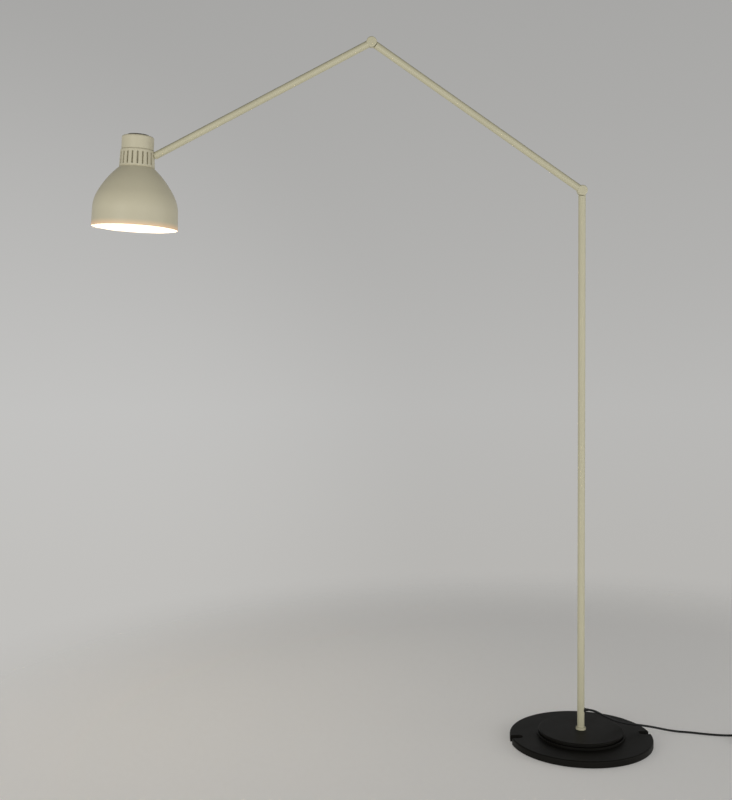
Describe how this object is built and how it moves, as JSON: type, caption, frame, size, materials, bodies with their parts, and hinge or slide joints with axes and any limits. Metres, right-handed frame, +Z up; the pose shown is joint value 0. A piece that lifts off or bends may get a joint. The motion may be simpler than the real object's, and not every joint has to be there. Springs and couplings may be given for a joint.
{
  "type": "adjustable arm floor lamp",
  "caption": "Floor lamp with a heavy round base, an upright tube, a folding arm with lapped friction joints and a tilting bell shade with a push switch on top.",
  "frame": {"origin": "on the floor, in the middle of the underside of the base pad, on the stem's axis", "axes": "+Z up the stem, -X towards the lamp's head: both arms swing in the XZ plane; -Y is the side that the picture was taken from"},
  "size_m": [1.512, 0.32, 1.5798],
  "materials": {
    "cream_paint": "satin",
    "black_paint": "satin",
    "zinc_steel": "satin",
    "white_nylon": "matte",
    "black_felt": "matte",
    "black_rubber": "matte",
    "cord_sheath": "satin",
    "inner_flex": "matte",
    "tie_strap": "matte",
    "plug_plastic": "satin",
    "nickel": "satin",
    "dark_sleeve": "matte",
    "switch_plastic": "matte",
    "button_plastic": "satin",
    "holder_plastic": "satin",
    "bulb_metal": "satin",
    "opal_glass": "satin"
  },
  "bodies": {
    "base": {"floor_pad": "black_felt", "base_plate": "black_paint", "base_weight": "black_paint", "base_cover": "black_paint", "base_screws": "zinc_steel", "foot_stud": "zinc_steel", "foot_washer": "zinc_steel", "foot_nut": "zinc_steel", "foot_flange": "cream_paint", "stem_tube": "cream_paint", "stem_knuckle": "cream_paint", "stem_flex": "inner_flex", "stem_joint_friction_washer": "white_nylon", "stem_joint_spring_washer": "zinc_steel", "stem_joint_cap": "cream_paint", "cord_grommet": "black_rubber", "cord_lead": "cord_sheath", "cord_coil": "cord_sheath", "cord_tail": "cord_sheath", "cord_tie": "tie_strap", "plug_body": "plug_plastic", "plug_pins": "nickel"},
    "lower_arm": {"lower_arm_foot_knuckle": "cream_paint", "lower_arm_tube": "cream_paint", "lower_arm_elbow_knuckle": "cream_paint", "lower_arm_flex": "inner_flex", "stem_joint_pin": "zinc_steel", "stem_joint_nut": "zinc_steel", "elbow_joint_friction_washer": "white_nylon", "elbow_joint_spring_washer": "zinc_steel", "elbow_joint_cap": "cream_paint"},
    "upper_arm": {"upper_arm_elbow_knuckle": "cream_paint", "upper_arm_tube": "cream_paint", "upper_arm_flex": "inner_flex", "upper_arm_head_knuckle": "cream_paint", "elbow_joint_pin": "zinc_steel", "elbow_joint_nut": "zinc_steel"},
    "head": {"head_bracket": "zinc_steel", "tilt_pin": "zinc_steel", "tilt_nut": "zinc_steel", "tilt_washers": "white_nylon", "shade": "cream_paint", "shade_screws": "zinc_steel", "slotted_ring": "cream_paint", "neck_sleeve": "dark_sleeve", "cap": "cream_paint", "switch_body": "switch_plastic", "terminal_block": "white_nylon", "lampholder": "holder_plastic", "lampholder_nipple": "zinc_steel", "nipple_nut": "zinc_steel", "bulb_cap": "bulb_metal", "bulb_glass": "opal_glass"},
    "button": {"switch_button": "button_plastic"}
  },
  "joints": [
    {"name": "lower_elbow", "type": "hinge", "parent": "base", "child": "lower_arm", "pos_m": [0, 0, 1.242], "axis": [0, -1, 0], "range_deg": [-55, 45]},
    {"name": "upper_elbow", "type": "hinge", "parent": "lower_arm", "child": "upper_arm", "pos_m": [-0.4625, 0, 1.56826], "axis": [0, 1, 0], "range_deg": [-50, 62]},
    {"name": "head_tilt", "type": "hinge", "parent": "upper_arm", "child": "head", "pos_m": [-0.96744, 0, 1.31254], "axis": [0, -1, 0], "range_deg": [-3, 42]},
    {"name": "switch_press", "type": "slide", "parent": "head", "child": "button", "axis": [-0.057, 0, -0.9984], "range_m": [0, 0.0025], "stiffness_N_per_m": 600, "springref_m": -0.002}
  ]
}
